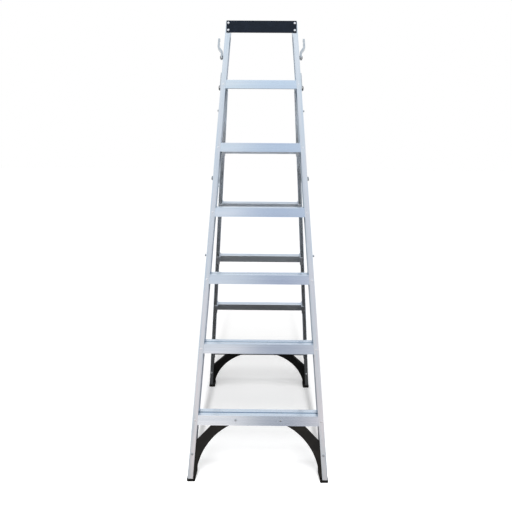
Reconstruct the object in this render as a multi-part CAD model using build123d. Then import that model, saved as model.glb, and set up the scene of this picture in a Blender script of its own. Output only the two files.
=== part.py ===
# Combination ladder: a step ladder whose rear section swings up to make one straight ladder.
# Millimetres, +Z up. The front section faces -Y, and the origin is on the floor in the middle.
import os
from math import atan2, cos, degrees, radians, sin, sqrt, tan

from build123d import *

# Stance when open as a step ladder
front_lean = 17.5
rear_lean = 17.0
tread_count = 6
tread_pitch = 300.0
lowest_tread_height = 270.0
rung_count = 5

# Stile channels, web outside, flanges pointing in
stile_depth = 78.0
front_flange = 24.0
rear_flange = 20.0
stile_wall = 2.4
stile_outer_radius = 3.0
stile_inner_radius = 1.0
front_half_floor = 308.0
front_half_head = 173.0
stile_head = 294.0
rear_floor_inset = 2.5
rear_pivot_inset = 5.0
stile_overlength = 40.0

# Hinge between the two sections
section_gap = 10.0
pivot_above_tread = 12.1
hinge_plate_thickness = 5.0
hinge_plate_half_height = 28.5
hinge_plate_drop = 9.5
hinge_plate_front = 28.0
hinge_plate_corner = 16.0
hinge_plate_lobe = 25.0
hinge_rivet_back = 60.0
hinge_rivet_back_drop = 24.0
pivot_bolt_diameter = 10.0
pivot_head_across = 17.0
pivot_head_height = 8.0
pivot_nut_height = 8.0
pivot_end = 3.0
pivot_spacer_diameter = 18.0
pivot_tilt_gap = 0.7
pivot_web_gap = 0.95

# Treads, an inverted channel with a grooved top that is ribbed in two bands
tread_wall = 2.2
tread_lip = 41.5
tread_back_lip = 36.0
tread_end_gap = 2.0
tread_fit = 0.1
tread_nose_radius = 1.2
tread_rib_height = 0.45
tread_rib_width = 2.8
tread_rib_pitch = 5.2
tread_rib_bevel = 0.2
tread_front_ribs = 5
tread_back_ribs = 6
tread_band_margin = 4.0
tread_groove_width = 12.0
tread_groove_depth = 6.0
tread_groove_slope = 0.6
tread_rivet_drop = 21.0

# Rungs, a rounded box tube with grip ribs on its two stepping faces
rung_depth = 30.0
rung_height = 39.5
rung_wall = 2.0
rung_radius = 2.5
rung_rib_height = 0.8
rung_rib_width = 2.4
rung_rib_pitch = 5.0
rung_rib_count = 4
rung_end_gap = 0.2

# Rung brackets, a sleeve inside the channel with a cover hooked over the front flange
bracket_wall = 3.5
bracket_reach = 5.0
bracket_cover = 11.5
bracket_sheet = 2.0
bracket_bevel = 1.6
bracket_fit = 0.15

# Top brace, a pressed plate with a top return across the stile heads
brace_inset = 2.0
brace_height = 63.0
brace_sheet = 2.5
brace_return = 15.0
brace_return_gap = 4.0
brace_corner = 2.5
brace_edge = 1.2
brace_above_stile = 2.0
brace_rivet_inset = 9.5
brace_rivet_edge = 13.0

# Knee braces, a moulded tray under the lowest tread and the lowest rung
arch_radius = 262.0
arch_centre_x = 10.0
arch_share = 0.9733
rear_knee_drop = 17.0
knee_arm_end = 84.0
knee_arm_top = 276.0
knee_arm_depth = 18.67
knee_corner_out = 141.0
front_leg_width = 43.0
rear_leg_width = 38.5
knee_leg_slant_top = 43.0
knee_leg_slant_run = 0.26
knee_leg_bottom = 22.0
knee_pad_top = 140.0
knee_plate = 3.5
knee_rim_wall = 3.0
knee_fit = 0.1
knee_web_gap = 1.6
knee_boss_diameter = 13.0
knee_corner_radius = 4.0
knee_arm_rivet_x = 99.5
knee_arm_rivet_height = 264.0
knee_flange_rivet_height = 117.0
lip_dimple_diameter = 26.0
lip_dimple_depth = 0.9

# Feet, a sole under the channel and a plug up inside it
sole_height = 12.0
sole_overhang = 3.0
sole_side = 1.2
sole_width = 36.0
sole_corner = 5.0
sole_edge = 1.5
sole_grooves = 6
sole_groove_width = 4.0
sole_groove_depth = 2.0
plug_height = 72.0
plug_fit = 0.3
plug_inset = 1.0
plug_root = 4.0
plug_lead = 4.0
foot_rivet_height = 52.0
foot_rivet_length = 14.0

# Lock hooks on the front stiles and the studs they catch on the rear stiles
hook_below_head = 170.0
hook_depth = 39.0
hook_sheet = 9.0
hook_width = 26.0
hook_spacer_length = 5.2
hook_running_gap = 0.3
hook_crank_start = 24.0
hook_crank_end = 47.0
hook_crank_out = 19.0
hook_bend = 3.0
hook_notch_radius = 80.0
hook_length = 93.0
hook_notch_play = 1.3
hook_tip_radius = 6.0
hook_bolt_diameter = 8.0
hook_head_across = 13.0
hook_head_height = 2.5
hook_nut_height = 6.5
hook_bolt_end = 2.0
hook_spacer_diameter = 18.0
catch_stud_diameter = 10.0
catch_stud_length = 27.0
hook_catch_drop = 7.0

# Spreader stays on the front stiles and the studs that they drop over
stay_below_pivot = 486.0
stay_stud_below_pivot = 513.78
stay_sheet = 3.0
stay_width = 20.0
stay_tail = 13.0
stay_washer = 4.4
stay_running_gap = 0.15
stay_notch_radius = 5.7
stay_notch_drop = 3.5
stay_lift = 3.2
stay_stud_diameter = 10.0
stay_stud_offset = 15.0
stay_stud_length = 9.6
stow_play = 1.0
stud_head_diameter = 15.0
stud_head_height = 2.0
stud_edge = 1.0
stay_pivot_diameter = 8.0
stay_pivot_head = 16.0
stay_pivot_head_height = 2.2
stay_washer_diameter = 20.0

# Rivets and stud tails, with the shape of a rivet's head as shares of its diameter and height
rivet_recess = 0.16
rivet_recess_depth = 0.7
rivet_crown = 0.28
rivet_shoulder = 0.44
rivet_shoulder_height = 0.65
rivet_diameter = 4.8
rivet_head = 9.0
rivet_head_height = 1.0
rivet_tail = 7.5
rivet_tail_height = 1.6
big_rivet_diameter = 6.0
big_rivet_head = 11.5
big_rivet_head_height = 2.6
big_rivet_tail = 9.5
big_rivet_tail_height = 2.2
stud_tail_diameter = 8.0
stud_tail_head = 13.0
stud_tail_height = 3.0
stud_flange_diameter = 16.0
stud_flange_height = 2.5
hexagon_bevel = 1.0
hole_clearance = 0.1
bearing_clearance = 0.06
drill_reach = 12.0
corner_match = 0.01

# Directions and frames that follow from the sizes above
half_depth = stile_depth / 2
front_tilt = radians(front_lean)
rear_tilt = radians(rear_lean)
top_tread_height = lowest_tread_height + tread_pitch * (tread_count - 1)
pivot_along = top_tread_height / cos(front_tilt) + pivot_above_tread
front_stile_length = pivot_along + stile_head
front_taper = atan2(front_half_floor - front_half_head, front_stile_length)
rear_half_floor = front_half_floor - rear_floor_inset
rear_half_pivot = front_half_floor - pivot_along * tan(front_taper) - rear_pivot_inset
pivot_back = stile_depth + section_gap + half_depth
pivot_y = pivot_along * sin(front_tilt) + pivot_back * cos(front_tilt)
pivot_z = pivot_along * cos(front_tilt) - pivot_back * sin(front_tilt)
rear_pivot_along = (pivot_z - half_depth * sin(rear_tilt)) / cos(rear_tilt)
rear_taper = atan2(rear_half_floor - rear_half_pivot, rear_pivot_along)
rear_floor_y = pivot_y - half_depth * cos(rear_tilt) + rear_pivot_along * sin(rear_tilt)
front_cut_y = sole_height * tan(front_tilt)
rear_cut_y = rear_floor_y - sole_height * tan(rear_tilt)
front_sole = (front_cut_y - sole_overhang, front_cut_y + stile_depth / cos(front_tilt) + sole_overhang)
rear_sole = (rear_cut_y - sole_overhang, rear_cut_y + stile_depth / cos(rear_tilt) + sole_overhang)
centre = Pos(0, -(front_sole[0] + rear_sole[1]) / 2, 0)

front_place = centre * Rot(-front_lean, 0, 0)
rear_place = centre * Pos(0, rear_floor_y, 0) * Rot(rear_lean, 0, 0)
front_web = front_place * Pos(front_half_floor, 0, 0) * Rot(0, -degrees(front_taper), 0)
rear_web = rear_place * Pos(rear_half_floor, 0, 0) * Rot(0, -degrees(rear_taper), 0)
pivot_axis = centre * Pos(0, pivot_y, pivot_z) * Rot(0, 90, 0)

rung_pitch = tread_pitch / cos(front_tilt)
lip_front = stile_wall + tread_fit
knee_front = lip_front + tread_wall + knee_fit
rung_face = half_depth - rung_depth / 2
knee_back = rung_face - knee_fit
hook_along = front_stile_length - hook_below_head
catch_stud_down = hook_along - pivot_along - hook_catch_drop
catch_stud_offset = pivot_back - hook_depth - hook_notch_radius
stay_along = pivot_along - stay_below_pivot
stow_stud_length = stay_washer + stay_sheet + stud_head_height + stow_play
head_out = Rot(0, 90, 0)
head_front = Rot(90, 0, 0)
head_back = Rot(-90, 0, 0)


def front_half(along):
    return front_half_floor - along * tan(front_taper)


def rear_half(along):
    return rear_half_floor - along * tan(rear_taper)


def mirrored(shape):
    return mirror(shape, about=Plane.YZ)


def pair(shapes):
    solids = [solid for shape in shapes for solid in shape.solids()]
    return Compound(children=solids + [mirrored(solid) for solid in solids])


def polygon(points):
    return make_face(Polyline(*points, close=True))


# The corners of a face that lie at the given points
def at_points(face, points):
    def nearest(v):
        return min(abs(v.X - x) + abs(v.Y - y) for x, y in points)

    return [v for v in face.vertices() if nearest(v) < corner_match]


def spun(points):
    return revolve(polygon([(radius, 0, height) for radius, height in points]), Axis.Z)


def tube(outer, inner, start, end):
    return spun([(inner / 2, start), (outer / 2, start), (outer / 2, end), (inner / 2, end)])


def drilled(shape, places, diameter, reach=drill_reach):
    for place in places:
        shape -= place * Cylinder(diameter / 2 + hole_clearance, 2 * reach)
    return shape


def drilled_both(shape, places, diameter):
    for place in places:
        hole = place * Cylinder(diameter / 2 + hole_clearance, 2 * drill_reach)
        shape -= hole
        shape -= mirrored(hole)
    return shape


# A block between two corners
def block(low, high):
    size = [b - a for a, b in zip(low, high)]
    middle = [(a + b) / 2 for a, b in zip(low, high)]
    return Pos(*middle) * Box(*size)


# A set rivet: its recessed head stands on the seat along +Z, and its tail closes the grip below
def rivet(grip, diameter, head, head_height, tail, tail_height):
    recess = head_height * (1 - rivet_recess_depth)
    return spun([
        (0, recess),
        (head * rivet_recess, recess),
        (head * rivet_recess, head_height),
        (head * rivet_crown, head_height),
        (head * rivet_shoulder, head_height * rivet_shoulder_height),
        (head / 2, 0),
        (diameter / 2, 0),
        (diameter / 2, -grip),
        (tail / 2, -grip),
        (tail / 2, -grip - tail_height),
        (0, -grip - tail_height),
    ])


def small_rivet(grip):
    return rivet(grip, rivet_diameter, rivet_head, rivet_head_height, rivet_tail, rivet_tail_height)


def big_rivet(grip):
    head = (big_rivet_head, big_rivet_head_height)
    tail = (big_rivet_tail, big_rivet_tail_height)
    return rivet(grip, big_rivet_diameter, *head, *tail)


def stud_tail():
    return [
        (stud_tail_diameter / 2, 0),
        (stud_tail_diameter / 2, -stile_wall),
        (stud_tail_head / 2, -stile_wall),
        (stud_tail_head / 2, -stile_wall - stud_tail_height),
        (0, -stile_wall - stud_tail_height),
    ]


# A plain stud on a base flange, which a lock hook catches
def catch_stud():
    radius = catch_stud_diameter / 2
    return spun([
        (0, catch_stud_length),
        (radius - stud_edge, catch_stud_length),
        (radius, catch_stud_length - stud_edge),
        (radius, stud_flange_height),
        (stud_flange_diameter / 2, stud_flange_height),
        (stud_flange_diameter / 2, 0),
    ] + stud_tail())


# A headed stud, which a stay's notch drops over
def headed_stud(length):
    return spun([
        (0, length),
        (stud_head_diameter / 2 - stud_edge, length),
        (stud_head_diameter / 2, length - stud_edge),
        (stud_head_diameter / 2, length - stud_head_height),
        (stay_stud_diameter / 2, length - stud_head_height),
        (stay_stud_diameter / 2, 0),
    ] + stud_tail())


# A hexagon from start to end along +Z, its outer corners turned off at the end
def hexagon(across, start, end):
    body = Pos(0, 0, start) * extrude(RegularPolygon(across / sqrt(3), 6), end - start)
    turned = spun([
        (0, start),
        (across / sqrt(3), start),
        (across / sqrt(3), end - hexagon_bevel),
        (across / 2, end),
        (0, end),
    ])
    return body & turned


# Channel along +Z with its web's outer face at x = 0 and its front face at y = 0
def channel(flange, end):
    face = polygon([
        (0, 0),
        (0, stile_depth),
        (-flange, stile_depth),
        (-flange, stile_depth - stile_wall),
        (-stile_wall, stile_depth - stile_wall),
        (-stile_wall, stile_wall),
        (-flange, stile_wall),
        (-flange, 0),
    ])
    face = fillet([v for v in face.vertices() if abs(v.X) < corner_match], stile_outer_radius)
    face = fillet([v for v in face.vertices() if abs(v.X + stile_wall) < corner_match], stile_inner_radius)
    return Pos(0, 0, -stile_overlength) * extrude(face, end + stile_overlength)


# What stands above a level of the floor
def above(shape, level):
    span = 2 * rear_floor_y
    return shape - block((-span, -span, level - 4 * stile_overlength), (span, span, level))


# Room between the webs of a section, as a wedge across its whole depth
def between_webs(half, top, gap):
    low = half(0) - gap
    high = half(top) - gap
    wedge = polygon([(-low, 0, 0), (low, 0, 0), (high, 0, top), (-high, 0, top)])
    return extrude(wedge, 2 * stile_depth, dir=(0, 1, 0), both=True)


# Places on the right-hand side, each with +Z pointing out of the face that its head sits on
def tread_top(index):
    return top_tread_height - tread_pitch * (index - 1)


def tread_along(index, depth):
    return (tread_top(index) + depth * sin(front_tilt)) / cos(front_tilt)


def front_flange_place(x, along):
    return front_place * Pos(x, 0, along) * head_front


def tread_front_place(index):
    along = tread_along(index, 0) - tread_rivet_drop
    return front_flange_place(front_half(along) - front_flange / 2, along)


def tread_back_place(index):
    along = tread_along(index, stile_depth) - tread_rivet_drop
    return front_place * Pos(front_half(along) - front_flange / 2, stile_depth, along) * head_back


def web_place(frame, depth, along):
    return frame * Pos(0, depth, along) * head_out


treads = range(1, tread_count + 1)
rungs = range(1, rung_count + 1)
tread_rivet_places = [tread_front_place(i) for i in treads] + [tread_back_place(i) for i in treads]

brace_width = 2 * (front_half_head - brace_inset)
brace_top = front_stile_length * cos(front_taper) + brace_above_stile
brace_rivet_x = brace_width / 2 - brace_rivet_inset
brace_rivet_levels = [brace_top - brace_rivet_edge, brace_top - brace_height + brace_rivet_edge]
brace_rivet_places = [front_flange_place(brace_rivet_x, along) for along in brace_rivet_levels]

hinge_middle = pivot_along / cos(front_taper) - hinge_plate_drop
hinge_rivet_places = [
    web_place(front_web, hinge_plate_front, hinge_middle + hinge_plate_half_height),
    web_place(front_web, hinge_plate_front, hinge_middle - hinge_plate_half_height),
    web_place(front_web, hinge_rivet_back, hinge_middle - hinge_rivet_back_drop),
]

hook_place = web_place(front_web, hook_depth, hook_along)
stay_place = web_place(front_web, half_depth, stay_along)
rear_pivot_web = rear_pivot_along / cos(rear_taper)
catch_place = web_place(rear_web, half_depth + catch_stud_offset, rear_pivot_web - catch_stud_down)


# Depth and height along the front section of a point of the rear section
def on_front(depth, along):
    y = rear_floor_y + depth * cos(rear_tilt) - along * sin(rear_tilt)
    z = depth * sin(rear_tilt) + along * cos(rear_tilt)
    return y * cos(front_tilt) - z * sin(front_tilt), y * sin(front_tilt) + z * cos(front_tilt)


# How far back and up the stay's stud lies from its pivot, and so its reach and its seated lean from square
stay_stud_along = rear_pivot_along - stay_stud_below_pivot
stay_stud_depth, stay_stud_height = on_front(half_depth - stay_stud_offset, stay_stud_along)
stay_back = stay_stud_depth - half_depth
stay_up = stay_stud_height - stay_along * cos(front_taper)
stay_reach = sqrt(stay_back**2 + stay_up**2 - stay_notch_drop**2)
stay_seat_angle = degrees(atan2(stay_up, stay_back) + atan2(stay_notch_drop, stay_reach))
stay_rest_angle = stay_seat_angle + stay_lift
stay_stud_place = web_place(rear_web, half_depth - stay_stud_offset, stay_stud_along / cos(rear_taper))
stow_place = web_place(front_web, half_depth + stay_notch_drop, stay_along - stay_reach)

rear_knee_height = knee_flange_rivet_height - rear_knee_drop
rear_arm_height = knee_arm_rivet_height - rear_knee_drop
front_knee_x = front_half(knee_flange_rivet_height) - front_flange / 2
rear_knee_x = rear_half(rear_knee_height) - rear_flange / 2
front_foot_x = front_half(foot_rivet_height) - front_flange / 2
rear_foot_x = rear_half(foot_rivet_height) - rear_flange / 2
front_knee_place = front_flange_place(front_knee_x, knee_flange_rivet_height)
rear_knee_place = rear_place * Pos(rear_knee_x, 0, rear_knee_height) * head_front
front_foot_place = front_place * Pos(front_foot_x, stile_depth, foot_rivet_height) * head_back
rear_foot_place = rear_place * Pos(rear_foot_x, stile_depth, foot_rivet_height) * head_back
arm_seat = lip_front + lip_dimple_depth
front_arm_place = front_place * Pos(knee_arm_rivet_x, arm_seat, knee_arm_rivet_height) * head_front
rear_arm_place = rear_place * Pos(knee_arm_rivet_x, knee_front, rear_arm_height) * head_front


def front_stile():
    stile = above(front_web * channel(front_flange, front_stile_length), sole_height)
    stile = drilled(stile, tread_rivet_places, rivet_diameter)
    stile = drilled(stile, brace_rivet_places + [front_knee_place, front_foot_place], big_rivet_diameter)
    stile = drilled(stile, hinge_rivet_places, big_rivet_diameter)
    stile = drilled(stile, [hook_place], hook_bolt_diameter)
    return drilled(stile, [stay_place, stow_place], stud_tail_diameter)


# The rear stile ends in a round head about the pivot, so that it turns clear of the front section
def rear_stile():
    stile = rear_web * channel(rear_flange, rear_pivot_web + half_depth)
    crown = rear_web * block(
        (-2 * rear_flange, -half_depth, rear_pivot_web),
        (rear_flange, stile_depth + half_depth, rear_pivot_web + stile_depth),
    )
    crown -= pivot_axis * Cylinder(half_depth, 2 * rear_half_floor)
    stile = above(stile - crown, sole_height)
    stile -= pivot_axis * Cylinder(pivot_bolt_diameter / 2 + bearing_clearance, 2 * rear_half_floor)
    stile = drilled(stile, [catch_place, stay_stud_place], stud_tail_diameter)
    return drilled(stile, [rear_knee_place, rear_foot_place], big_rivet_diameter)


def rib_row(start, count):
    points = []
    for index in range(count):
        left = start + index * tread_rib_pitch
        right = left + tread_rib_width
        points += [
            (left, -tread_rib_height),
            (left + tread_rib_bevel, 0),
            (right - tread_rib_bevel, 0),
            (right, -tread_rib_height),
        ]
    return points


def band_width(count):
    return (count - 1) * tread_rib_pitch + tread_rib_width


# Tread section in Y and Z with its rib tops at zero, its lips lying along the stiles
def tread_section():
    slope = tan(front_tilt)
    depth = (stile_depth - 2 * lip_front) / cos(front_tilt)
    wall = tread_wall / cos(front_tilt)
    base = -tread_rib_height
    under = base - tread_wall
    back_start = depth - tread_band_margin - band_width(tread_back_ribs)
    front_end = tread_band_margin + band_width(tread_front_ribs)
    groove_start = (front_end + back_start - tread_groove_width) / 2
    groove_end = groove_start + tread_groove_width
    face = polygon(
        [(base * slope, base)]
        + rib_row(tread_band_margin, tread_front_ribs)
        + [
            (groove_start, base),
            (groove_start + tread_groove_slope, base - tread_groove_depth),
            (groove_end - tread_groove_slope, base - tread_groove_depth),
            (groove_end, base),
        ]
        + rib_row(back_start, tread_back_ribs)
        + [
            (depth + base * slope, base),
            (depth - tread_back_lip * slope, -tread_back_lip),
            (depth - tread_back_lip * slope - wall, -tread_back_lip),
            (depth + under * slope - wall, under),
            (groove_end + tread_wall, under),
            (groove_end + tread_wall, under - tread_groove_depth),
            (groove_start - tread_wall, under - tread_groove_depth),
            (groove_start - tread_wall, under),
            (wall + under * slope, under),
            (wall - tread_lip * slope, -tread_lip),
            (-tread_lip * slope, -tread_lip),
        ]
    )
    return fillet(at_points(face, [(base * slope, base), (depth + base * slope, base)]), tread_nose_radius)


def tread(index):
    height = tread_top(index)
    nose = Pos(0, height * tan(front_tilt) + lip_front / cos(front_tilt), height)
    bar = centre * nose * extrude(Plane.YZ * tread_section(), front_half_floor, both=True)
    bar &= front_place * between_webs(front_half, front_stile_length, stile_wall + tread_end_gap)
    bar = drilled_both(bar, [tread_front_place(index), tread_back_place(index)], rivet_diameter)
    if index == tread_count:
        seat = Pos(0, 0, lip_dimple_depth) * Cylinder(lip_dimple_diameter / 2, 2 * lip_dimple_depth)
        seat = front_arm_place * seat
        bar = bar - seat - mirrored(seat)
        bar = drilled_both(bar, [front_arm_place], big_rivet_diameter)
    return bar


def top_brace():
    half = brace_width / 2
    plate = block((-half, -brace_sheet, brace_top - brace_height), (half, 0, brace_top))
    plate = fillet(plate.edges().filter_by(Axis.Y), brace_corner)
    plate = fillet(plate.faces().sort_by(Axis.Y)[0].edges(), brace_edge)
    reach = front_half(brace_top) - front_flange - brace_return_gap
    plate += block((-reach, -brace_sheet / 2, brace_top - brace_sheet), (reach, brace_return, brace_top))
    return drilled_both(front_place * plate, brace_rivet_places, big_rivet_diameter)


# Outline of the right-hand knee brace in X and height along its section
def knee_outline(half, leg_width, drop):
    arm_top = knee_arm_top - drop
    corner_sum = half(0) + knee_corner_out - drop
    wall_gap = stile_wall + knee_web_gap
    taper = half(0) - half(1)
    meet = (corner_sum - half(0) + wall_gap) / (1 - taper)
    leg_inner = half(0) - leg_width
    slant_x = leg_inner + (knee_leg_slant_top - knee_leg_bottom) * knee_leg_slant_run

    def rise(x):
        share = arch_share * (x - arch_centre_x) / (leg_inner - arch_centre_x)
        return arch_radius * sqrt(1 - share**2)

    def arch(x):
        return x, arm_top - knee_arm_depth + rise(x) - rise(knee_arm_end)

    arm_corner = (knee_arm_end, arm_top)
    outer_corner = (corner_sum - arm_top, arm_top)
    toe = (slant_x, knee_leg_bottom)
    sides = Polyline(
        arch(knee_arm_end),
        arm_corner,
        outer_corner,
        (half(meet) - wall_gap, meet),
        (half(knee_leg_bottom) - wall_gap, knee_leg_bottom),
        toe,
        (leg_inner, knee_leg_slant_top),
        arch(leg_inner),
    )
    curve = ThreePointArc(arch(leg_inner), arch((leg_inner + knee_arm_end) / 2), arch(knee_arm_end))
    face = make_face([sides, curve])
    rounded = [arm_corner, arch(knee_arm_end), outer_corner, toe]
    return fillet(at_points(face, rounded), knee_corner_radius)


# A sketch in X and height, made solid from one depth of its section to another
def layer(sketch, near, far):
    plane = Plane(origin=(0, far, 0), x_dir=(1, 0, 0), z_dir=(0, -1, 0))
    return extrude(plane * sketch, far - near)


def knee_brace(place, half, flange, leg_width, drop, rivet_places):
    outline = knee_outline(half, leg_width, drop)
    tray = layer(outline, knee_front, knee_back)
    hollow = offset(outline, -knee_rim_wall, kind=Kind.INTERSECTION)
    tray -= layer(hollow, knee_front + knee_plate, knee_back + knee_plate)
    flange_x = half(knee_flange_rivet_height - drop) - flange / 2
    rivets = [
        (knee_arm_rivet_x, knee_arm_rivet_height - drop),
        (flange_x, knee_flange_rivet_height - drop),
    ]
    for x, along in rivets:
        tray += layer(Pos(x, along) * Circle(knee_boss_diameter / 2), knee_front, knee_back)
    pad_top = knee_pad_top - drop
    wall_gap = stile_wall + knee_web_gap
    tip = flange - stile_inner_radius
    pad = polygon([
        (half(knee_leg_bottom) - tip, knee_leg_bottom),
        (half(knee_leg_bottom) - wall_gap, knee_leg_bottom),
        (half(pad_top) - wall_gap, pad_top),
        (half(pad_top) - tip, pad_top),
    ])
    tray += layer(pad, lip_front, knee_front)
    return drilled(place * tray, rivet_places, big_rivet_diameter, 2 * drill_reach)


def foot(web, half_floor, flange, sole_span, rivet_place):
    outer = half_floor + sole_side
    sole = block((outer - sole_width, sole_span[0], 0), (outer, sole_span[1], sole_height))
    sole = fillet(sole.edges().filter_by(Axis.Z), sole_corner)
    sole = chamfer(sole.faces().sort_by(Axis.Z)[0].edges(), sole_edge)
    pitch = (sole_span[1] - sole_span[0]) / (sole_grooves + 1)
    for index in range(sole_grooves):
        y = sole_span[0] + (index + 1) * pitch
        half_groove = sole_groove_width / 2
        groove_low = (0, y - half_groove, -sole_groove_depth)
        groove_high = (2 * outer, y + half_groove, sole_groove_depth)
        sole -= block(groove_low, groove_high)
    plug = block(
        (plug_inset - flange, knee_back + plug_inset, -stile_overlength),
        (-stile_wall - plug_fit, stile_depth - stile_wall - plug_fit, plug_height),
    )
    plug = chamfer(plug.faces().sort_by(Axis.Z)[-1].edges(), plug_lead)
    plug = above(web * plug, sole_height - plug_root)
    return drilled(centre * sole + plug, [rivet_place], big_rivet_diameter, foot_rivet_length + plug_fit)


def rung_level(index):
    return rear_pivot_along - index * rung_pitch


def rung_section():
    outer = RectangleRounded(rung_depth, rung_height, rung_radius)
    for side in (1, -1):
        for index in range(rung_rib_count):
            shift = (index - (rung_rib_count - 1) / 2) * rung_rib_pitch
            outer += Pos(shift, side * rung_height / 2) * Rectangle(rung_rib_width, 2 * rung_rib_height)
    inner = RectangleRounded(rung_depth - 2 * rung_wall, rung_height - 2 * rung_wall, rung_radius - rung_wall)
    return outer - inner


def rung(index):
    bar = extrude(Plane.YZ * rung_section(), rear_half_floor, both=True)
    bar = Pos(0, half_depth, rung_level(index)) * bar
    bar &= between_webs(rear_half, rear_pivot_along, stile_wall + rung_end_gap)
    bar = rear_place * bar
    if index == rung_count:
        bar = drilled_both(bar, [rear_arm_place * Pos(0, 0, knee_front - rung_face)], big_rivet_diameter)
    return bar


def rung_bracket(index):
    along = rung_level(index) / cos(rear_taper) + rear_flange * tan(rear_taper)
    half_height = rung_height / 2 + rung_rib_height + bracket_fit + bracket_wall
    half_width = rung_depth / 2 + bracket_fit + bracket_wall
    inside = -rear_flange - bracket_reach
    low = along - half_height
    high = along + half_height
    sleeve = block(
        (inside, half_depth - half_width, low),
        (-stile_wall - rung_end_gap, half_depth + half_width, high),
    )
    tongue = block((inside, -bracket_sheet, low), (-rear_flange - bracket_fit, half_depth, high))
    cover = block((inside, -bracket_sheet, low), (inside + bracket_reach + bracket_cover, 0, high))
    bracket = sleeve + tongue + cover
    front_edges = bracket.faces().sort_by(Axis.Y)[0].edges().filter_by(Axis.X)
    bracket = rear_web * chamfer(front_edges, bracket_bevel)
    opening_height = rung_height + 2 * (rung_rib_height + bracket_fit)
    opening = RectangleRounded(rung_depth + 2 * bracket_fit, opening_height, rung_radius)
    bore = extrude(Plane.YZ * opening, rear_half_floor, both=True)
    return bracket - rear_place * Pos(0, half_depth, rung_level(index)) * bore


def hinge_plate():
    centres = [
        (hinge_plate_front, hinge_middle + hinge_plate_half_height, hinge_plate_corner),
        (hinge_plate_front, hinge_middle - hinge_plate_half_height, hinge_plate_corner),
        (pivot_back, pivot_along / cos(front_taper), hinge_plate_lobe),
    ]
    outline = make_hull([edge for y, z, radius in centres for edge in (Pos(y, z) * Circle(radius)).edges()])
    plate = front_web * extrude(Plane.YZ * outline, hinge_plate_thickness)
    plate -= pivot_axis * Cylinder(pivot_bolt_diameter / 2 + hole_clearance, 2 * rear_half_floor)
    return drilled(plate, hinge_rivet_places, big_rivet_diameter)


plate_inner = front_half(pivot_along)
pivot_head_start = plate_inner + hinge_plate_thickness / cos(front_taper) + pivot_tilt_gap
pivot_nut_end = rear_half_pivot - stile_wall / cos(rear_taper) - pivot_web_gap
pivot_nut_start = pivot_nut_end - pivot_nut_height


def pivot_bolt():
    head = hexagon(pivot_head_across, pivot_head_start, pivot_head_start + pivot_head_height)
    start = pivot_nut_start - pivot_end
    length = pivot_head_start - start
    shank = Pos(0, 0, start + length / 2) * Cylinder(pivot_bolt_diameter / 2, length)
    return pivot_axis * (head + shank)


def pivot_nut():
    nut = hexagon(pivot_head_across, pivot_nut_start, pivot_nut_end)
    return pivot_axis * drilled(nut, [Pos(0, 0, pivot_nut_end)], pivot_bolt_diameter)


def pivot_spacer():
    bore = pivot_bolt_diameter + 2 * hole_clearance
    start = rear_half_pivot + pivot_web_gap
    return pivot_axis * tube(pivot_spacer_diameter, bore, start, plate_inner - pivot_tilt_gap)


hook_seat = hook_spacer_length + hook_running_gap
hook_head_start = hook_seat + hook_sheet + hook_running_gap


# The edges along Y of a strip that lie at the given points in X and Z
def bends_at(strip, points):
    def nearest(edge):
        middle = edge.center()
        return min(abs(middle.X - x) + abs(middle.Z - z) for x, z in points)

    return [edge for edge in strip.edges().filter_by(Axis.Y) if nearest(edge) < corner_match]


# Lock hook: a bent strip cut to its side outline, upright beside the stile
def lock_hook():
    half = hook_width / 2
    rise = hook_crank_end - hook_crank_start
    run = hook_crank_out
    shift = hook_sheet * (sqrt(rise**2 + run**2) - rise) / run / 2
    inner = hook_seat
    outer = hook_seat + hook_sheet
    low_outer = (outer, hook_crank_start - shift)
    low_inner = (inner, hook_crank_start + shift)
    high_outer = (outer + run, hook_crank_end - shift)
    high_inner = (inner + run, hook_crank_end + shift)
    edge_points = [
        (inner, -half),
        (outer, -half),
        low_outer,
        high_outer,
        (outer + run, hook_length),
        (inner + run, hook_length),
        high_inner,
        low_inner,
    ]
    strip = polygon([(x, 0, z) for x, z in edge_points])
    strip = extrude(strip, half, dir=(0, 1, 0), both=True)
    strip = fillet(bends_at(strip, [low_outer, high_inner]), hook_bend)
    strip = fillet(bends_at(strip, [low_inner, high_outer]), hook_bend + hook_sheet)
    side = Circle(half) + Pos(0, hook_length / 2) * Rectangle(hook_width, hook_length)
    tips = [v for v in side.vertices() if v.Y > hook_length - corner_match]
    side = fillet(tips, hook_tip_radius)
    notch = catch_stud_diameter / 2 + hook_notch_play
    side -= Pos(0, hook_notch_radius) * Circle(notch)
    side -= Pos(half, hook_notch_radius) * Rectangle(hook_width, 2 * notch)
    side -= Circle(hook_bolt_diameter / 2 + bearing_clearance)
    strip &= extrude(Plane.YZ * side, 2 * outer + 2 * run)
    return front_web * Pos(0, hook_depth, hook_along) * strip


def hook_bolt():
    head = hexagon(hook_head_across, hook_head_start, hook_head_start + hook_head_height)
    start = -stile_wall - hook_nut_height - hook_bolt_end
    length = hook_head_start - start
    shank = Pos(0, 0, start + length / 2) * Cylinder(hook_bolt_diameter / 2, length)
    return hook_place * (head + shank)


def hook_nut():
    nut = hexagon(hook_head_across, -stile_wall - hook_nut_height, -stile_wall)
    return hook_place * drilled(nut, [Pos(0, 0, 0)], hook_bolt_diameter)


def hook_spacer():
    bore = hook_bolt_diameter + 2 * hole_clearance
    return hook_place * tube(hook_spacer_diameter, bore, 0, hook_spacer_length)


stay_seat_out = stay_washer + stay_running_gap
stay_head_start = stay_seat_out + stay_sheet + stay_running_gap


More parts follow.
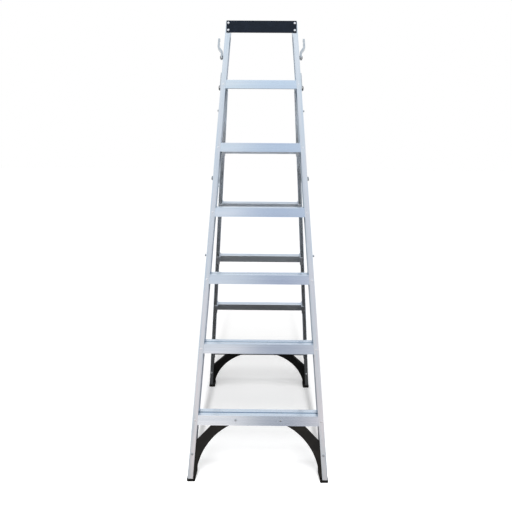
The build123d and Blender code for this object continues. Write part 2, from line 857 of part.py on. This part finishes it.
# Spreader stay: a flat bar pivoted on the front stile, notched from below near its free end
def stay():
    half = stay_width / 2
    bar = Pos((stay_reach + stay_tail) / 2, 0) * SlotOverall(stay_reach + stay_tail + stay_width, stay_width)
    bar -= Pos(stay_reach, -stay_notch_drop) * Circle(stay_notch_radius)
    mouth = half + stay_notch_drop
    bar -= Pos(stay_reach, -stay_notch_drop - mouth / 2) * Rectangle(2 * stay_notch_radius, mouth)
    bar -= Circle(stay_pivot_diameter / 2 + bearing_clearance)
    flat = Pos(stay_seat_out, 0, 0) * extrude(Plane.YZ * bar, stay_sheet)
    return front_web * Pos(0, half_depth, stay_along) * Rot(stay_rest_angle, 0, 0) * flat


def stay_pivot():
    top = stay_head_start + stay_pivot_head_height
    return stay_place * spun([
        (0, top),
        (stay_pivot_head / 2 - stud_edge, top),
        (stay_pivot_head / 2, top - stud_edge),
        (stay_pivot_head / 2, stay_head_start),
        (stay_pivot_diameter / 2, stay_head_start),
    ] + stud_tail()[1:])


def stay_spacer():
    bore = stay_pivot_diameter + 2 * hole_clearance
    return stay_place * tube(stay_washer_diameter, bore, 0, stay_washer)


def export_pair(shape, name):
    export_step(shape, f"parts/{name}_right.step")
    export_step(mirrored(shape), f"parts/{name}_left.step")


os.makedirs("parts", exist_ok=True)

# Front section
export_pair(front_stile(), "front_stile")
for index in treads:
    export_step(tread(index), f"parts/tread_{index}.step")
tread_grip = lip_front + tread_wall
tread_rivets = [place * small_rivet(tread_grip) for place in tread_rivet_places]
export_step(pair(tread_rivets), "parts/tread_rivets.step")
export_step(top_brace(), "parts/top_brace.step")
brace_seat = Pos(0, 0, brace_sheet)
brace_grip = brace_sheet + stile_wall
brace_rivets = [place * brace_seat * big_rivet(brace_grip) for place in brace_rivet_places]
export_step(pair(brace_rivets), "parts/top_brace_rivets.step")
front_knee_places = [front_arm_place, front_knee_place]
front_knee = knee_brace(front_place, front_half, front_flange, front_leg_width, 0, front_knee_places)
export_pair(front_knee, "front_knee_brace")
front_knee_rivets = [
    front_arm_place * big_rivet(knee_back - arm_seat),
    front_knee_place * big_rivet(knee_back),
]
export_step(pair(front_knee_rivets), "parts/front_knee_brace_rivets.step")
export_pair(foot(front_web, front_half_floor, front_flange, front_sole, front_foot_place), "front_foot")
foot_rivet_head = (big_rivet_head, big_rivet_head_height)
foot_rivet_end = (big_rivet_diameter / 2, plug_fit)
foot_rivet = rivet(foot_rivet_length, big_rivet_diameter, *foot_rivet_head, *foot_rivet_end)
export_step(pair([front_foot_place * foot_rivet]), "parts/front_foot_rivets.step")

# Hinge
export_pair(hinge_plate(), "hinge_plate")
plate_seat = Pos(0, 0, hinge_plate_thickness)
plate_grip = hinge_plate_thickness + stile_wall
hinge_rivets = [place * plate_seat * big_rivet(plate_grip) for place in hinge_rivet_places]
export_step(pair(hinge_rivets), "parts/hinge_plate_rivets.step")
export_step(pair([pivot_bolt()]), "parts/pivot_bolts.step")
export_step(pair([pivot_nut()]), "parts/pivot_nuts.step")
export_step(pair([pivot_spacer()]), "parts/pivot_spacers.step")

# Lock hooks and stays
export_pair(lock_hook(), "lock_hook")
export_step(pair([hook_bolt()]), "parts/hook_bolts.step")
export_step(pair([hook_nut()]), "parts/hook_nuts.step")
export_step(pair([hook_spacer()]), "parts/hook_spacers.step")
export_pair(stay(), "stay")
export_step(pair([stay_pivot()]), "parts/stay_pivots.step")
export_step(pair([stay_spacer()]), "parts/stay_washers.step")
export_step(pair([stow_place * headed_stud(stow_stud_length)]), "parts/stow_studs.step")

# Rear section
export_pair(rear_stile(), "rear_stile")
for index in rungs:
    export_step(rung(index), f"parts/rung_{index}.step")
export_step(pair([rung_bracket(index) for index in rungs]), "parts/rung_brackets.step")
rear_knee_places = [rear_arm_place, rear_knee_place]
rear_knee = knee_brace(rear_place, rear_half, rear_flange, rear_leg_width, rear_knee_drop, rear_knee_places)
export_pair(rear_knee, "rear_knee_brace")
rear_knee_rivets = [
    rear_arm_place * big_rivet(rung_face + rung_wall - knee_front),
    rear_knee_place * big_rivet(knee_back),
]
export_step(pair(rear_knee_rivets), "parts/rear_knee_brace_rivets.step")
export_pair(foot(rear_web, rear_half_floor, rear_flange, rear_sole, rear_foot_place), "rear_foot")
export_step(pair([rear_foot_place * foot_rivet]), "parts/rear_foot_rivets.step")
export_step(pair([catch_place * catch_stud()]), "parts/catch_studs.step")
export_step(pair([stay_stud_place * headed_stud(stay_stud_length)]), "parts/stay_studs.step")
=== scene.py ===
import math

import bmesh
import bpy
from mathutils import Matrix, Vector


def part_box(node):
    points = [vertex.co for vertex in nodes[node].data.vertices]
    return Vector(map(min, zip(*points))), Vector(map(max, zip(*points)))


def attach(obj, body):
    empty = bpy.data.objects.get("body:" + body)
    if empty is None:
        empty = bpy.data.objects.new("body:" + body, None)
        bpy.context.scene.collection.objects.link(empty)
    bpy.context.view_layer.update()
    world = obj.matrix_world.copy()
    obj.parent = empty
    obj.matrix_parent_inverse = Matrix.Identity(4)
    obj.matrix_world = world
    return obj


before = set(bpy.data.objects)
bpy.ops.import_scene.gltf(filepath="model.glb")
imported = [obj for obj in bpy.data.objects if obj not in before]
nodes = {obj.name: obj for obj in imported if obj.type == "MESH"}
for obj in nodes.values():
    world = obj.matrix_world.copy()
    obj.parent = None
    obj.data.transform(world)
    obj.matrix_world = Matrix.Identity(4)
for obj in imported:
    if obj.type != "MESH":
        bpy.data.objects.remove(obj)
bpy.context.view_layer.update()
print("frame loaded:", len(nodes), "nodes")

mmPerMetre = 1000.0
noiseLow, noiseHigh = 0.3, 0.7  # nearly all of a noise texture lies between these
mixFirst, mixSecond, mixResult = 6, 7, 2  # a Mix node's colour sockets, whose names aren't unique


# sRGB hex to linear, by the standard curve
def hexLinear(code):
    out = []
    for i in (1, 3, 5):
        c = int(code[i:i + 2], 16) / 255
        out.append(c / 12.92 if c <= 0.04045 else ((c + 0.055) / 1.055) ** 2.4)
    return (*out, 1.0)


# one node: settings are its own properties or a ramp's stops, and inputs take a number, a colour
# or another node's socket
def addNode(tree, kind, settings, inputs):
    node = tree.nodes.new(kind)
    for key, value in settings.items():
        if key == "stops":
            elements = node.color_ramp.elements
            while len(elements) < len(value):
                elements.new(1.0)
            for element, (position, code) in zip(elements, value):
                element.position = position
                element.color = hexLinear(code)
        else:
            setattr(node, key, value)
    for key, value in inputs.items():
        if isinstance(value, bpy.types.NodeSocket):
            tree.links.new(value, node.inputs[key])
        else:
            node.inputs[key].default_value = value
    return node


def newMaterial(name):
    mat = bpy.data.materials.new(name)
    mat.use_nodes = True
    mat.node_tree.nodes.clear()
    return mat, mat.node_tree


# texture scale for a pattern of this size in mm
def perMetre(size):
    return mmPerMetre / size


# Mill finish aluminium, extruded: a satin gloss with soft die lines along the bar, and long cloudy
# patches, bluish or lilac, where the oxide skin is thicker and blurs reflections a little more.
# Real die lines are some 0.3 mm apart, too fine to show, so they are drawn several mm apart.
stileAluminium = {
    "skin": [(0.30, "#d0dbe5"), (0.50, "#d9e0e6"), (0.72, "#e1e2e7")],  # from thick to thin
    "roughness": 0.38, "roughSpread": 0.04,
    "dieLine": 6.5, "dieLength": 900.0, "lineTone": 0.05,  # mm, mm, share of the tone
    "cloud": 16.0, "cloudLength": 260.0,  # mm
    "bump": 0.03, "bumpDepth": 0.5,  # strength, mm
}
# the same bar with a glossier skin
rearAluminium = dict(stileAluminium, roughness=0.27)
# the treads: glossier again and bluer, with closer lines and longer clouds
treadAluminium = dict(
    stileAluminium, skin=[(0.30, "#d1deea"), (0.50, "#d6e1eb"), (0.72, "#dae2ec")],
    roughness=0.20, dieLine=5.0, lineTone=0.04, cloud=22.0, cloudLength=420.0)
# the rungs: paler, with closer lines; the paler skin is painted light that lifts the rungs' faces,
# which reflect the dark mat
rungAluminium = dict(
    stileAluminium, skin=[(0.30, "#dbe2e9"), (0.50, "#e0e6ec"), (0.72, "#e4e9ee")],
    roughness=0.36, dieLine=5.0, cloud=18.0)


# lean turns the bar upright and taper follows the stiles as they come together, so that lines run
# with the bar
def extrudedAluminium(name, spec, lean, taper, alongX):
    mat, tree = newMaterial(name)
    coords = addNode(tree, "ShaderNodeTexCoord", {}, {})
    turned = addNode(tree, "ShaderNodeMapping", {}, {
        "Vector": coords.outputs["Object"], "Rotation": (math.radians(lean), 0, 0)})
    bar = turned.outputs["Vector"]
    if not alongX:
        split = addNode(tree, "ShaderNodeSeparateXYZ", {}, {"Vector": bar})
        side = addNode(tree, "ShaderNodeMath", {"operation": "SIGN"}, {0: split.outputs["X"]})
        across = addNode(tree, "ShaderNodeMath", {"operation": "MULTIPLY"}, {
            0: split.outputs["X"], 1: side.outputs["Value"]})
        straight = addNode(tree, "ShaderNodeMath", {"operation": "MULTIPLY_ADD"}, {
            0: split.outputs["Z"], 1: taper, 2: across.outputs["Value"]})
        apart = addNode(tree, "ShaderNodeMath", {"operation": "ADD"}, {  # left and right differ
            0: straight.outputs["Value"], 1: side.outputs["Value"]})
        joined = addNode(tree, "ShaderNodeCombineXYZ", {}, {
            "X": apart.outputs["Value"], "Y": split.outputs["Y"], "Z": split.outputs["Z"]})
        bar = joined.outputs["Vector"]
    noises = {}
    for key, width, length in (("line", "dieLine", "dieLength"), ("cloud", "cloud", "cloudLength")):
        fine, long = perMetre(spec[width]), perMetre(spec[length])
        stretch = (long, fine, fine) if alongX else (fine, fine, long)
        scaled = addNode(tree, "ShaderNodeMapping", {}, {"Vector": bar, "Scale": stretch})
        noise = addNode(tree, "ShaderNodeTexNoise", {}, {
            "Vector": scaled.outputs["Vector"], "Scale": 1.0})
        noises[key] = noise.outputs["Fac"]
    skin = addNode(tree, "ShaderNodeValToRGB", {"stops": spec["skin"]}, {"Fac": noises["cloud"]})
    lineTone = addNode(tree, "ShaderNodeMapRange", {}, {
        "Value": noises["line"], "From Min": noiseLow, "From Max": noiseHigh,
        "To Min": 1.0 - spec["lineTone"], "To Max": 1.0 + spec["lineTone"] / 2})
    toned = addNode(tree, "ShaderNodeVectorMath", {"operation": "SCALE"}, {
        0: skin.outputs["Color"], "Scale": lineTone.outputs["Result"]})
    rough = addNode(tree, "ShaderNodeMapRange", {}, {
        "Value": noises["cloud"], "From Min": noiseLow, "From Max": noiseHigh,
        "To Min": spec["roughness"] + spec["roughSpread"],
        "To Max": spec["roughness"] - spec["roughSpread"]})
    bump = addNode(tree, "ShaderNodeBump", {}, {
        "Strength": spec["bump"], "Distance": spec["bumpDepth"] / mmPerMetre,
        "Height": noises["line"]})
    shader = addNode(tree, "ShaderNodeBsdfPrincipled", {}, {
        "Base Color": toned.outputs["Vector"], "Metallic": 1.0,
        "Roughness": rough.outputs["Result"], "Normal": bump.outputs["Normal"]})
    addNode(tree, "ShaderNodeOutputMaterial", {}, {"Surface": shader.outputs["BSDF"]})
    return mat


# Grain and patch are in mm. The next metals' real grain is some 0.2 mm, too fine to show, so it is
# drawn about 1 mm wide.
# Die-cast aluminium, tumbled: dull, with a fine even grain.
castAluminium = {
    "colour": "#c8ccd1", "dark": "#b4b9c0", "roughness": 0.38,
    "grain": 1.4, "patch": 14.0, "bump": 0.10}
# Cold-headed aluminium: bright and nearly smooth, the palest metal here.
rivetAluminium = {
    "colour": "#f1f2f4", "dark": "#dfe2e6", "roughness": 0.26,
    "grain": 1.0, "patch": 6.0, "bump": 0.04}
# Zinc-plated steel, pressed: greyer than aluminium, with faint crystal patches.
zincSteel = {
    "colour": "#c6cbcf", "dark": "#abb2b8", "roughness": 0.34,
    "grain": 1.2, "patch": 9.0, "bump": 0.06}
# Black oxide on turned steel: dark, with a low oily gloss.
blackOxide = {
    "colour": "#34353a", "dark": "#242529", "roughness": 0.36,
    "grain": 0.9, "patch": 7.0, "bump": 0.06}
# what these metals share: patches with soft edges, and how far the grain moves gloss and relief
metalGrain = {"patchBlur": 0.6, "roughSpread": 0.06, "bumpDepth": 0.4}  # the depth in mm


def grainyMetal(name, spec):
    mat, tree = newMaterial(name)
    coords = addNode(tree, "ShaderNodeTexCoord", {}, {})
    patch = addNode(tree, "ShaderNodeTexVoronoi", {"feature": "SMOOTH_F1"}, {
        "Vector": coords.outputs["Object"], "Scale": perMetre(spec["patch"]),
        "Smoothness": metalGrain["patchBlur"]})
    grain = addNode(tree, "ShaderNodeTexNoise", {}, {
        "Vector": coords.outputs["Object"], "Scale": perMetre(spec["grain"])})
    tone = addNode(tree, "ShaderNodeMix", {"data_type": "RGBA"}, {
        "Factor": patch.outputs["Distance"],
        mixFirst: hexLinear(spec["colour"]), mixSecond: hexLinear(spec["dark"])})
    rough = addNode(tree, "ShaderNodeMapRange", {}, {
        "Value": grain.outputs["Fac"],
        "To Min": spec["roughness"] - metalGrain["roughSpread"],
        "To Max": spec["roughness"] + metalGrain["roughSpread"]})
    bump = addNode(tree, "ShaderNodeBump", {}, {
        "Strength": spec["bump"], "Distance": metalGrain["bumpDepth"] / mmPerMetre,
        "Height": grain.outputs["Fac"]})
    shader = addNode(tree, "ShaderNodeBsdfPrincipled", {}, {
        "Base Color": tone.outputs[mixResult], "Metallic": 1.0,
        "Roughness": rough.outputs["Result"], "Normal": bump.outputs["Normal"]})
    addNode(tree, "ShaderNodeOutputMaterial", {}, {"Surface": shader.outputs["BSDF"]})
    return mat


# Powder coat on pressed steel: a low orange peel that blurs reflections, slightly blue black.
powderCoat = {
    "colour": "#10161f", "thin": "#161d28", "roughness": 0.45, "level": 0.14,
    "grain": 2.2, "bump": 0.06}
# Injection-moulded polypropylene: fine spark-eroded grain, paler where it was handled. The real
# grain of moulded pieces is some 0.2 mm, too fine to show, so it is drawn 1 to 2 mm wide.
polypropylene = {
    "colour": "#1a1918", "thin": "#24221f", "roughness": 0.55, "level": 0.16,
    "grain": 1.5, "bump": 0.10}
# painted shade: the rear pair is darker, as it stands in the rear section's shade
shadedRearPolypropylene = dict(polypropylene, colour="#0f0f0f", thin="#161514")
# Moulded rubber soles: dead matt with dust in the pores.
soleRubber = {
    "colour": "#171615", "thin": "#2a2826", "roughness": 0.80, "level": 0.15,
    "grain": 1.8, "bump": 0.16}
# Moulded nylon: smooth and slightly waxy.
blackNylon = {
    "colour": "#121212", "thin": "#1a1a1a", "roughness": 0.42, "level": 0.20,
    "grain": 1.2, "bump": 0.03}
# what all black surfaces share: worn places, and how far the grain moves gloss and relief
blackWear = {
    "worn": 45.0, "bumpDepth": 0.6,  # mm
    "wornDetail": 5.0, "wornRoughness": 0.62, "wornFrom": 0.45, "wornTo": 0.75,
    "grainDetail": 3.0, "grainRoughness": 0.6, "roughSpread": 0.08,
}


def blackSurface(name, spec):
    mat, tree = newMaterial(name)
    coords = addNode(tree, "ShaderNodeTexCoord", {}, {})
    grain = addNode(tree, "ShaderNodeTexNoise", {}, {
        "Vector": coords.outputs["Object"], "Scale": perMetre(spec["grain"]),
        "Detail": blackWear["grainDetail"], "Roughness": blackWear["grainRoughness"]})
    handled = addNode(tree, "ShaderNodeTexNoise", {}, {
        "Vector": coords.outputs["Object"], "Scale": perMetre(blackWear["worn"]),
        "Detail": blackWear["wornDetail"], "Roughness": blackWear["wornRoughness"]})
    wear = addNode(tree, "ShaderNodeMapRange", {}, {
        "Value": handled.outputs["Fac"],
        "From Min": blackWear["wornFrom"], "From Max": blackWear["wornTo"]})
    tone = addNode(tree, "ShaderNodeMix", {"data_type": "RGBA"}, {
        "Factor": wear.outputs["Result"],
        mixFirst: hexLinear(spec["colour"]), mixSecond: hexLinear(spec["thin"])})
    rough = addNode(tree, "ShaderNodeMapRange", {}, {
        "Value": grain.outputs["Fac"],
        "To Min": spec["roughness"] - blackWear["roughSpread"],
        "To Max": spec["roughness"] + blackWear["roughSpread"]})
    bump = addNode(tree, "ShaderNodeBump", {}, {
        "Strength": spec["bump"], "Distance": blackWear["bumpDepth"] / mmPerMetre,
        "Height": grain.outputs["Fac"]})
    shader = addNode(tree, "ShaderNodeBsdfPrincipled", {}, {
        "Base Color": tone.outputs[mixResult], "Roughness": rough.outputs["Result"],
        "Specular IOR Level": spec["level"], "Normal": bump.outputs["Normal"]})
    addNode(tree, "ShaderNodeOutputMaterial", {}, {"Surface": shader.outputs["BSDF"]})
    return mat


stance = {
    "frontLean": 17.5, "rearLean": -17.0,  # degrees
    "frontTaper": 0.0624, "rearTaper": 0.0658,  # run per rise
}
# how each extruded piece lies: lean, taper, and whether it runs from side to side
frontStileWay = (stance["frontLean"], stance["frontTaper"], False)
rearStileWay = (stance["rearLean"], stance["rearTaper"], False)
treadWay = (stance["frontLean"], 0.0, True)
rungWay = (stance["rearLean"], 0.0, True)
finishes = {
    "frontStile": extrudedAluminium("millFinishAluminiumFront", stileAluminium, *frontStileWay),
    "rearStile": extrudedAluminium("millFinishAluminiumRear", rearAluminium, *rearStileWay),
    "tread": extrudedAluminium("millFinishAluminiumTread", treadAluminium, *treadWay),
    "rung": extrudedAluminium("millFinishAluminiumRung", rungAluminium, *rungWay),
    "bracket": grainyMetal("tumbledCastAluminium", castAluminium),
    "rivet": grainyMetal("coldHeadedAluminium", rivetAluminium),
    "zinc": grainyMetal("zincPlatedSteel", zincSteel),
    "oxide": grainyMetal("blackOxideSteel", blackOxide),
    "powder": blackSurface("powderCoatedSteel", powderCoat),
    "moulded": blackSurface("mouldedBlackPolypropylene", polypropylene),
    # the rear knee braces' darker black is painted shade
    "shadedRearMoulded": blackSurface("mouldedBlackPolypropyleneRearShaded", shadedRearPolypropylene),
    "rubber": blackSurface("mouldedBlackRubber", soleRubber),
    "nylon": blackSurface("mouldedBlackNylon", blackNylon),
}
# a node takes the first of these that its name starts with
wears = {
    "front_stile": "frontStile", "rear_stile": "rearStile",
    "tread_rivets": "rivet", "tread_": "tread",
    "rung_brackets": "bracket", "rung_": "rung",
    "top_brace_rivets": "rivet", "top_brace": "powder",
    "front_knee_brace_rivets": "zinc", "front_knee_brace": "moulded",
    "rear_knee_brace_rivets": "rivet", "rear_knee_brace": "shadedRearMoulded",
    "front_foot_rivets": "rivet", "front_foot": "rubber",
    "rear_foot_rivets": "rivet", "rear_foot": "rubber",
    "hinge_plate_rivets": "rivet", "hinge_plate": "zinc",
    "pivot_bolts": "oxide", "pivot_nuts": "oxide", "pivot_spacers": "nylon",
    "lock_hook": "zinc", "hook_bolts": "oxide", "hook_nuts": "zinc", "hook_spacers": "nylon",
    "stay_pivots": "zinc", "stay_washers": "nylon", "stay_studs": "zinc", "stay_": "zinc",
    "stow_studs": "zinc", "catch_studs": "zinc",
}
for name, obj in nodes.items():
    key = next(k for k in wears if name.startswith(k))
    obj.data.materials.clear()
    obj.data.materials.append(finishes[wears[key]])
print("finishes set on", len(nodes), "nodes")

# moulded nylon caps pushed over the pivot bolts' heads, the dark dots beside the top tread
pivotCap = {
    "radius": 12.5, "skirt": 11.5, "height": 15.0, "headHeight": 7.9, "weld": 0.001,  # mm
    "draft": 0.97, "rings": 7, "sides": 48, "sharpEdge": 40.0,  # share, counts, degrees
}


def makePivotCap(name, side):
    boltLow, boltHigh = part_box("pivot_bolts")
    middle = (boltLow + boltHigh) / 2
    seat = boltHigh.x - pivotCap["headHeight"] / mmPerMetre
    profile = [(0.0, 0.0), (0.0, 1.0), (pivotCap["skirt"], pivotCap["draft"])]
    for step in range(1, pivotCap["rings"] + 1):
        turned = math.pi / 2 * step / pivotCap["rings"]
        rise = (pivotCap["height"] - pivotCap["skirt"]) * math.sin(turned)
        profile.append((pivotCap["skirt"] + rise, pivotCap["draft"] * math.cos(turned)))
    mesh = bpy.data.meshes.new(name)
    bm = bmesh.new()
    line = []
    for out, share in profile:
        x = side * (seat + out / mmPerMetre)
        z = middle.z + share * pivotCap["radius"] / mmPerMetre
        line.append(bm.verts.new((x, middle.y, z)))
    edges = [bm.edges.new(pair) for pair in zip(line, line[1:])]
    bmesh.ops.spin(bm, geom=line + edges, cent=middle, axis=(1, 0, 0), angle=2 * math.pi,
                   steps=pivotCap["sides"], use_merge=True)
    bmesh.ops.remove_doubles(bm, verts=bm.verts, dist=pivotCap["weld"] / mmPerMetre)
    bmesh.ops.recalc_face_normals(bm, faces=bm.faces)
    for face in bm.faces:
        face.smooth = True
    bm.to_mesh(mesh)
    bm.free()
    mesh.set_sharp_from_angle(angle=math.radians(pivotCap["sharpEdge"]))
    mesh.materials.append(finishes["nylon"])
    cap = bpy.data.objects.new(name, mesh)
    bpy.context.scene.collection.objects.link(cap)
    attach(cap, "front_section")


makePivotCap("pivot_cap_left", -1)
makePivotCap("pivot_cap_right", 1)
print("pivot caps made")


def stageSheet(name, corners, mat):
    mesh = bpy.data.meshes.new(name)
    mesh.from_pydata(corners, [], [tuple(range(len(corners)))])
    mesh.materials.append(mat)
    sheet = bpy.data.objects.new(name, mesh)
    bpy.context.scene.collection.objects.link(sheet)
    return sheet


def flatCorners(half, front, back, level):
    return [(-half, front, level), (half, front, level), (half, back, level), (-half, back, level)]


# camera, mirror-like and see-through rays share one background
def seenRays(tree):
    path = addNode(tree, "ShaderNodeLightPath", {}, {})
    first = addNode(tree, "ShaderNodeMath", {"operation": "MAXIMUM"}, {
        0: path.outputs["Is Camera Ray"], 1: path.outputs["Is Glossy Ray"]})
    both = addNode(tree, "ShaderNodeMath", {"operation": "MAXIMUM"}, {
        0: first.outputs["Value"], 1: path.outputs["Is Transmission Ray"]})
    return both.outputs["Value"]


# one long narrow lamp overhead and in front, along the ladder's depth, where both stiles' planes
# meet: so the stiles draw a shadow on the floor and the treads hardly do; reflections see the room
# instead of it
topLamp = {"place": (0.0, -4.2, 4.7), "across": 0.12, "along": 6.4, "power": 380.0}  # metres, watts
lampData = bpy.data.lights.new("topLamp", "AREA")
lampData.shape = "RECTANGLE"
lampData.size = topLamp["across"]
lampData.size_y = topLamp["along"]
lampData.energy = topLamp["power"]
lampObj = bpy.data.objects.new("topLamp", lampData)
lampObj.location = topLamp["place"]
lampObj.visible_camera = False
lampObj.visible_glossy = False
bpy.context.scene.collection.objects.link(lampObj)

# the floor glows a little for the camera and for reflections, as painted light: more in front of
# the feet, where it paints out the lowest tread's shadow so that the floor stays white there, least
# under the ladder, and more again where the lamp no longer reaches
floorSpec = {
    "colour": "#f2f2f2", "half": 60.0,
    "glow": [
        (3.65, "#c8c8c8"), (4.15, "#8c8c8c"), (4.6, "#8a8a8a"), (4.9, "#919191"),
        (5.3, "#a0a0a0"), (6.2, "#b9b9b9"), (8.2, "#d8d8d8"), (10.0, "#e2e2e2"),
    ],  # by metres from under the lamp
    "glowSpan": 10.0, "glowAcross": 1.22,  # the long lamp falls off sooner to its sides
}
floorMat, floorTree = newMaterial("paleStudioFloor")
floorDiffuse = addNode(floorTree, "ShaderNodeBsdfDiffuse", {}, {
    "Color": hexLinear(floorSpec["colour"])})
floorCoords = addNode(floorTree, "ShaderNodeTexCoord", {}, {})
floorPlace = addNode(floorTree, "ShaderNodeMapping", {}, {
    "Vector": floorCoords.outputs["Object"], "Scale": (floorSpec["glowAcross"], 1.0, 1.0)})
floorReach = addNode(floorTree, "ShaderNodeVectorMath", {"operation": "DISTANCE"}, {
    0: floorPlace.outputs["Vector"], 1: (*topLamp["place"][:2], 0.0)})
glowPlace = addNode(floorTree, "ShaderNodeMapRange", {}, {
    "Value": floorReach.outputs["Value"], "From Max": floorSpec["glowSpan"]})
glowStops = [(metres / floorSpec["glowSpan"], code) for metres, code in floorSpec["glow"]]
glowTone = addNode(floorTree, "ShaderNodeValToRGB", {"stops": glowStops}, {
    "Fac": glowPlace.outputs["Result"]})
floorGlow = addNode(floorTree, "ShaderNodeEmission", {}, {
    "Color": glowTone.outputs["Color"], "Strength": seenRays(floorTree)})
floorSum = addNode(floorTree, "ShaderNodeAddShader", {}, {
    0: floorDiffuse.outputs["BSDF"], 1: floorGlow.outputs["Emission"]})
addNode(floorTree, "ShaderNodeOutputMaterial", {}, {"Surface": floorSum.outputs["Shader"]})
reach = floorSpec["half"]
stageSheet("studioFloor", flatCorners(reach, -reach, reach, 0.0), floorMat)

# a dark mat in front, which only reflections see: it paints a dark reflection on the rear section's
# faces, which lean down towards it
matSpec = {"half": 0.9, "front": -4.1, "back": 0.66, "height": 0.002, "strength": 0.068}
matMat, matTree = newMaterial("darkStudioMat")
matLight = addNode(matTree, "ShaderNodeEmission", {}, {"Strength": matSpec["strength"]})
addNode(matTree, "ShaderNodeOutputMaterial", {}, {"Surface": matLight.outputs["Emission"]})
matCorners = flatCorners(*(matSpec[k] for k in ("half", "front", "back", "height")))
darkMat = stageSheet("darkStudioMat", matCorners, matMat)

# a tall glowing screen behind the camera, seen only in reflections, paints reflections on the
# metal: its blue-grey middle paints shade on the treads' lips right of their middle, and its foot
# glows warm, a painted warm reflection
screenSpec = {
    "left": -1.6, "right": 1.6, "low": 0.0, "high": 9.0, "depth": -4.2, "strength": 1.6,
    "shade": [
        (-0.85, "#a0a0a0"), (-0.62, "#000000"), (-0.26, "#000000"), (-0.03, "#ffffff"),
        (0.30, "#ffffff"), (0.70, "#b0b0b0"), (1.05, "#000000"),
    ],  # by metres across: white takes the middle's tone, black the sides'
    "middle": [(1.2, "#868992"), (3.3, "#939bb0"), (5.3, "#acb9ca"), (7.3, "#e6e8ea")],
    "sides": [
        (0.4, "#fff3ea"), (1.1, "#e6dbd5"), (2.2, "#d1cdcc"), (3.6, "#cbced1"),
        (5.3, "#ced0cf"), (7.5, "#ececec"),
    ],  # both by metres up
}
left, right, low, high, depth = (screenSpec[k] for k in ("left", "right", "low", "high", "depth"))
screenMat, screenTree = newMaterial("tallStudioScreen")
screenCoords = addNode(screenTree, "ShaderNodeTexCoord", {}, {})
screenSplit = addNode(screenTree, "ShaderNodeSeparateXYZ", {}, {
    "Vector": screenCoords.outputs["Object"]})
across = addNode(screenTree, "ShaderNodeMapRange", {}, {
    "Value": screenSplit.outputs["X"], "From Min": left, "From Max": right})
upward = addNode(screenTree, "ShaderNodeMapRange", {}, {
    "Value": screenSplit.outputs["Z"], "From Min": low, "From Max": high})
tones = {}
for key, place, start, end in (
        ("shade", across, left, right), ("middle", upward, low, high),
        ("sides", upward, low, high)):
    stops = [((metres - start) / (end - start), code) for metres, code in screenSpec[key]]
    ramp = addNode(screenTree, "ShaderNodeValToRGB", {"stops": stops}, {
        "Fac": place.outputs["Result"]})
    tones[key] = ramp.outputs["Color"]
screenTone = addNode(screenTree, "ShaderNodeMix", {"data_type": "RGBA"}, {
    "Factor": tones["shade"], mixFirst: tones["sides"], mixSecond: tones["middle"]})
screenLight = addNode(screenTree, "ShaderNodeEmission", {}, {
    "Color": screenTone.outputs[mixResult], "Strength": screenSpec["strength"]})
addNode(screenTree, "ShaderNodeOutputMaterial", {}, {"Surface": screenLight.outputs["Emission"]})
screen = stageSheet("tallStudioScreen", [
    (left, depth, low), (right, depth, low), (right, depth, high), (left, depth, high)], screenMat)
for card in (darkMat, screen):  # both show in reflections alone
    card.visible_camera = False
    card.visible_diffuse = False
    card.visible_shadow = False
    card.visible_transmission = False

# the white room that the camera and reflections see, and the dimmer light that falls from it
roomSpec = {
    "horizon": "#ffffff", "horizonStrength": 1.0,
    "ceiling": "#f0f7ff", "ceilingStrength": 1.16,
    "ceilingStart": 0.3, "ceilingEnd": 0.65,  # from level at 0 to straight up at 1
    "ambient": 0.34,
}
world = bpy.data.worlds.new("softStudio")
world.use_nodes = True
worldTree = world.node_tree
worldTree.nodes.clear()
worldCoords = addNode(worldTree, "ShaderNodeTexCoord", {}, {})
worldSplit = addNode(worldTree, "ShaderNodeSeparateXYZ", {}, {
    "Vector": worldCoords.outputs["Generated"]})
height = addNode(worldTree, "ShaderNodeMapRange", {}, {
    "Value": worldSplit.outputs["Z"],
    "From Min": roomSpec["ceilingStart"], "From Max": roomSpec["ceilingEnd"]})
horizon = addNode(worldTree, "ShaderNodeBackground", {}, {
    "Color": hexLinear(roomSpec["horizon"]), "Strength": roomSpec["horizonStrength"]})
ceiling = addNode(worldTree, "ShaderNodeBackground", {}, {
    "Color": hexLinear(roomSpec["ceiling"]), "Strength": roomSpec["ceilingStrength"]})
shown = addNode(worldTree, "ShaderNodeMixShader", {}, {
    0: height.outputs["Result"],
    1: horizon.outputs["Background"], 2: ceiling.outputs["Background"]})
ambient = addNode(worldTree, "ShaderNodeBackground", {}, {
    "Color": hexLinear(roomSpec["horizon"]), "Strength": roomSpec["ambient"]})
worldMix = addNode(worldTree, "ShaderNodeMixShader", {}, {
    0: seenRays(worldTree), 1: ambient.outputs["Background"], 2: shown.outputs["Shader"]})
addNode(worldTree, "ShaderNodeOutputWorld", {}, {"Surface": worldMix.outputs["Shader"]})
bpy.context.scene.world = world
print("stage and lamp set")

cameraSpec = {
    "lens": 45.144, "sensor": 36.0,  # mm
    "place": (0.00972, -3.246477, 1.40987),  # metres
    "down": 8.8746, "roll": 0.404, "turn": 0.507,  # degrees
}
down, roll, turn = (math.radians(cameraSpec[k]) for k in ("down", "roll", "turn"))
sideways = Vector((math.cos(turn), math.sin(turn), 0))
ahead = Vector((-math.sin(turn), math.cos(turn), 0))
look = ahead * math.cos(down) - Vector((0, 0, math.sin(down)))
up = ahead * math.sin(down) + Vector((0, 0, math.cos(down)))
camRight = sideways * math.cos(roll) + up * math.sin(roll)
camUp = up * math.cos(roll) - sideways * math.sin(roll)
camData = bpy.data.cameras.new("photoCamera")
camData.sensor_width = cameraSpec["sensor"]
camData.lens = cameraSpec["lens"]
camObj = bpy.data.objects.new("photoCamera", camData)
camAxes = Matrix((camRight, camUp, -look)).transposed().to_4x4()
camObj.matrix_world = Matrix.Translation(cameraSpec["place"]) @ camAxes
bpy.context.scene.collection.objects.link(camObj)
bpy.context.scene.camera = camObj
bpy.context.scene.view_settings.view_transform = "Standard"
print("camera set")
